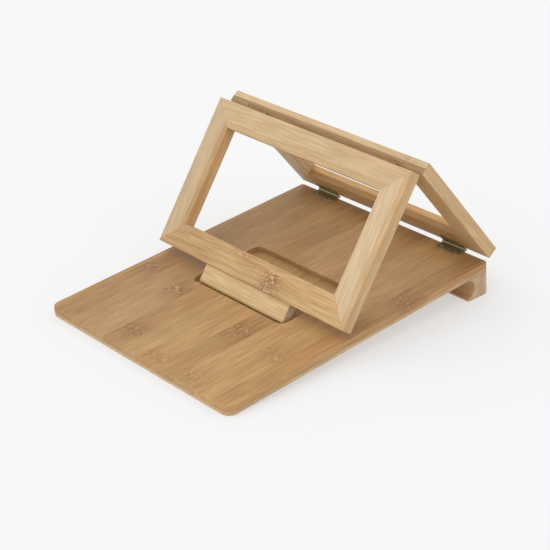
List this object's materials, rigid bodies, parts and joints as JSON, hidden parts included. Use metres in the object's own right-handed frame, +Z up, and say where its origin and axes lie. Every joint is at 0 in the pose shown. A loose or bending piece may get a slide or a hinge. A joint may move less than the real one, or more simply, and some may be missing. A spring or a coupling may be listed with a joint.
{
  "type": "book display stand",
  "caption": "Folding wooden stand: a low tilted board with two hinged open frames set up as an A, the front one standing in a recess.",
  "frame": {"origin": "middle of the bounding box, on the floor", "axes": "+Z up, front towards -Y, +X to the right of somebody facing the stand; the hinge axes run along X"},
  "size_m": [0.282, 0.3676, 0.1758],
  "materials": {
    "board_wood": "satin clear oil on glued strips, grain front to back",
    "foot_wood": "satin clear oil, grain across",
    "frame_wood": "satin clear oil, grain along each bar",
    "tongue_wood": "satin clear oil, grain across",
    "joinery_wood": "bare",
    "hinge_brass": "antique, dark in the low parts and rubbed on the edges",
    "screw_brass": "antique",
    "pin_steel": "brassed steel"
  },
  "bodies": {
    "base": {"base_board": "board_wood", "rear_foot": "foot_wood", "foot_dowels": "joinery_wood", "base_hinge_screws": "screw_brass", "rear_hinge_left_base_leaf": "hinge_brass", "rear_hinge_left_pin": "pin_steel", "rear_hinge_right_base_leaf": "hinge_brass", "rear_hinge_right_pin": "pin_steel"},
    "rear_frame": {"rear_frame_bottom_rail": "frame_wood", "rear_frame_top_rail": "frame_wood", "rear_frame_left_stile": "frame_wood", "rear_frame_right_stile": "frame_wood", "rear_frame_splines": "joinery_wood", "rear_frame_hinge_screws": "screw_brass", "rear_hinge_left_frame_leaf": "hinge_brass", "rear_hinge_right_frame_leaf": "hinge_brass", "ridge_hinge_left_rear_leaf": "hinge_brass", "ridge_hinge_left_pin": "pin_steel", "ridge_hinge_right_rear_leaf": "hinge_brass", "ridge_hinge_right_pin": "pin_steel"},
    "front_frame": {"front_frame_bottom_rail": "frame_wood", "front_frame_top_rail": "frame_wood", "front_frame_left_stile": "frame_wood", "front_frame_right_stile": "frame_wood", "front_frame_splines": "joinery_wood", "support_tongue": "tongue_wood", "tongue_dowels": "joinery_wood", "front_frame_hinge_screws": "screw_brass", "ridge_hinge_left_front_leaf": "hinge_brass", "ridge_hinge_right_front_leaf": "hinge_brass"}
  },
  "joints": [
    {"name": "rear_frame_hinge", "type": "hinge", "parent": "base", "child": "rear_frame", "pos_m": [0, 0.17402, 0.0391], "axis": [-1, 0, 0], "range_deg": [0, 125.5]},
    {"name": "front_frame_hinge", "type": "hinge", "parent": "rear_frame", "child": "front_frame", "pos_m": [0, 0.06664, 0.16752], "axis": [-1, 0, 0], "range_deg": [0, 106.37]}
  ]
}
